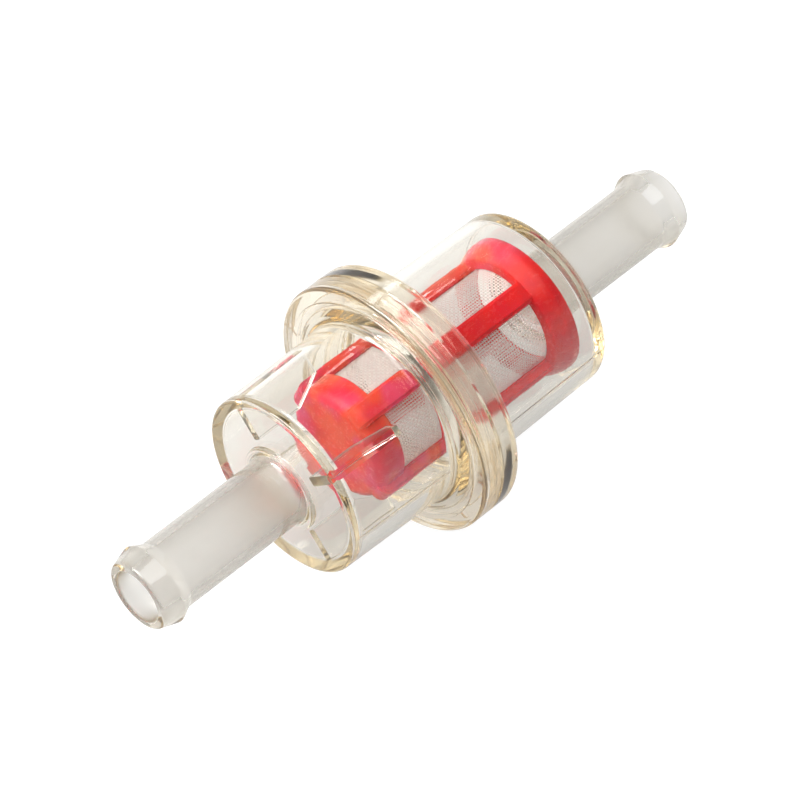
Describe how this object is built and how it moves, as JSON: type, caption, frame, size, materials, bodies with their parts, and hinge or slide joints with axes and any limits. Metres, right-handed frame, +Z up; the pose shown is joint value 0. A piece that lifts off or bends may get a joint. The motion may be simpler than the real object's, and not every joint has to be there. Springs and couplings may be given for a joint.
{
  "type": "inline fuel filter",
  "caption": "Clear two-cup inline fuel filter with barbed hose tails, a welded double flange and a red strainer with a fine gauze inside.",
  "frame": {"origin": "centre of the overall box, on the filter's axis, close to the parting plane", "axes": "+X along the filter's axis from the inlet tail to the outlet tail, +Z up with the axis level"},
  "size_m": [0.0788, 0.0304, 0.0304],
  "materials": {
    "clear_inlet": "clear moulded plastic, glossy, faint champagne tint",
    "clear_outlet": "clear moulded plastic, glossy, faint champagne tint",
    "red_frame": "translucent red moulded plastic, satin gloss",
    "gauze": "fine woven nylon gauze, off-white"
  },
  "bodies": {
    "root": {"inlet_housing": "clear_inlet", "outlet_housing": "clear_outlet", "strainer_frame": "red_frame", "strainer_mesh": "gauze"}
  },
  "joints": []
}
